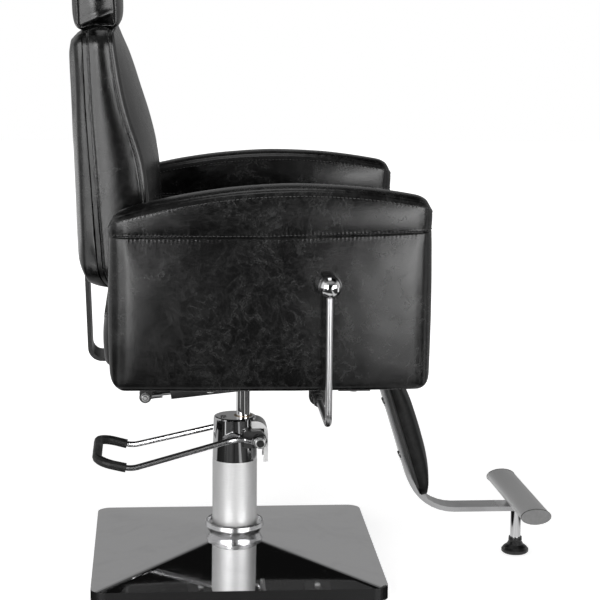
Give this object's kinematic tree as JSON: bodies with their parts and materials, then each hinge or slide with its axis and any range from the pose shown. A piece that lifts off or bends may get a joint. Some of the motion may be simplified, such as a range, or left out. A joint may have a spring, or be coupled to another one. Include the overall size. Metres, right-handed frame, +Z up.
{
  "type": "hydraulic barber chair",
  "caption": "Padded barber chair on a square chrome base: foot pump lifts and swivels the seat, lever-released reclining back, lifting headrest, padded armrests and T-bar footrest.",
  "frame": {"origin": "on the floor, under the middle of the square base", "axes": "+X to the sitter's left, -Y the way the sitter faces, +Z up"},
  "size_m": [0.777, 0.9537, 1.2641],
  "materials": {
    "rubber": "matte black moulded rubber",
    "black_steel": "satin black powder coat",
    "chrome": "mirror chrome plate",
    "satin_steel": "satin grey steel",
    "zinc_steel": "zinc plated steel",
    "black_screw": "blackened steel",
    "bronze": "plain bronze bush",
    "plywood": "bare plywood",
    "black_board": "black stained plywood",
    "upholstery": "black grained synthetic leather over foam"
  },
  "bodies": {
    "base": {"floor_ring": "rubber", "base_plate": "black_steel", "base_cover": "chrome", "trim_ring": "chrome", "pump_flange": "black_steel", "flange_bolts": "zinc_steel", "oil_reservoir": "satin_steel", "pressure_tube": "zinc_steel", "pump_head": "zinc_steel", "pump_cap": "chrome", "oil_plug": "black_screw", "pedal_bracket": "black_steel", "pump_guard": "satin_steel", "pedal_spring": "black_steel"},
    "swivel": {"swivel_bush": "bronze"},
    "seat": {"piston_rod": "chrome", "seat_mount": "black_steel", "mount_bolts": "zinc_steel", "seat_frame": "black_steel", "seat_board": "plywood", "seat_cushion": "upholstery", "right_armrest": "upholstery", "left_armrest": "upholstery", "arm_brackets": "black_steel", "arm_bolts": "zinc_steel", "hinge_pin": "zinc_steel", "gas_bracket": "black_steel", "lever_bracket": "black_steel", "leg_bar": "chrome", "leg_bolts": "zinc_steel", "calf_board": "black_board", "calf_pad": "upholstery", "calf_screws": "black_screw", "footrest_tube": "satin_steel", "footrest_caps": "satin_steel", "stand_leg": "chrome", "stand_nut": "zinc_steel"},
    "foot": {"stand_foot": "rubber"},
    "pedal": {"pedal_shaft": "zinc_steel", "pedal_rod": "chrome", "pedal_rubber": "rubber", "pedal_crank": "black_steel", "pedal_nuts": "zinc_steel"},
    "plunger": {"pump_plunger": "zinc_steel"},
    "back": {"back_bracket": "black_steel", "gas_pin": "zinc_steel", "back_board": "plywood", "back_cushion": "upholstery", "back_panel": "upholstery", "back_screws": "black_screw", "headrest_guides": "zinc_steel"},
    "headrest": {"headrest_posts": "chrome", "headrest_board": "plywood", "headrest_pad": "upholstery"},
    "gas_cylinder": {"gas_cylinder": "black_steel"},
    "gas_rod": {"gas_rod": "chrome"},
    "release": {"release_pin": "zinc_steel"},
    "lever": {"recline_lever": "chrome", "lever_cam": "black_steel", "lever_ball": "chrome"}
  },
  "joints": [
    {"name": "swivel", "type": "hinge", "parent": "base", "child": "swivel", "pos_m": [0, -0.017, 0.3], "axis": [0, 0, 1], "continuous": true},
    {"name": "lift", "type": "slide", "parent": "swivel", "child": "seat", "axis": [0, 0, 1], "range_m": [0, 0.15]},
    {"name": "recline", "type": "hinge", "parent": "seat", "child": "back", "pos_m": [0, 0.165, 0.434], "axis": [-1, 0, 0], "range_deg": [0, 35]},
    {"name": "gas_tilt", "type": "hinge", "parent": "seat", "child": "gas_cylinder", "pos_m": [-0.07, -0.125, 0.3985], "axis": [-1, 0, 0], "range_deg": [0, 1.05]},
    {"name": "gas_stroke", "type": "slide", "parent": "gas_cylinder", "child": "gas_rod", "axis": [0, -0.9941, 0.1081], "range_m": [0, 0.0428]},
    {"name": "release", "type": "slide", "parent": "gas_cylinder", "child": "release", "axis": [0, 0.9941, -0.1081], "range_m": [0, 0.0031]},
    {"name": "lever", "type": "hinge", "parent": "seat", "child": "lever", "pos_m": [-0.15, -0.157, 0.378], "axis": [-1, 0, 0], "range_deg": [0, 8], "stiffness_Nm_per_rad": 12, "springref_deg": -8.59},
    {"name": "headrest", "type": "slide", "parent": "back", "child": "headrest", "axis": [0, 0.0332, 0.9995], "range_m": [0, 0.09]},
    {"name": "pedal", "type": "hinge", "parent": "base", "child": "pedal", "pos_m": [0, -0.049, 0.261], "axis": [-1, 0, 0], "range_deg": [0, 18], "stiffness_Nm_per_rad": 10, "springref_deg": -25.78},
    {"name": "plunger", "type": "slide", "parent": "base", "child": "plunger", "axis": [0, 0, -1], "range_m": [0, 0.0086]},
    {"name": "foot", "type": "slide", "parent": "seat", "child": "foot", "axis": [0, 0, -1], "range_m": [0, 0.0035]}
  ],
  "couplings": [
    {"joint": "gas_tilt", "follows": "recline", "ratio": 0.02833},
    {"joint": "gas_stroke", "follows": "recline", "m_per_rad": 0.06979},
    {"joint": "release", "follows": "lever", "m_per_rad": 0.0215},
    {"joint": "plunger", "follows": "pedal", "m_per_rad": 0.027}
  ]
}
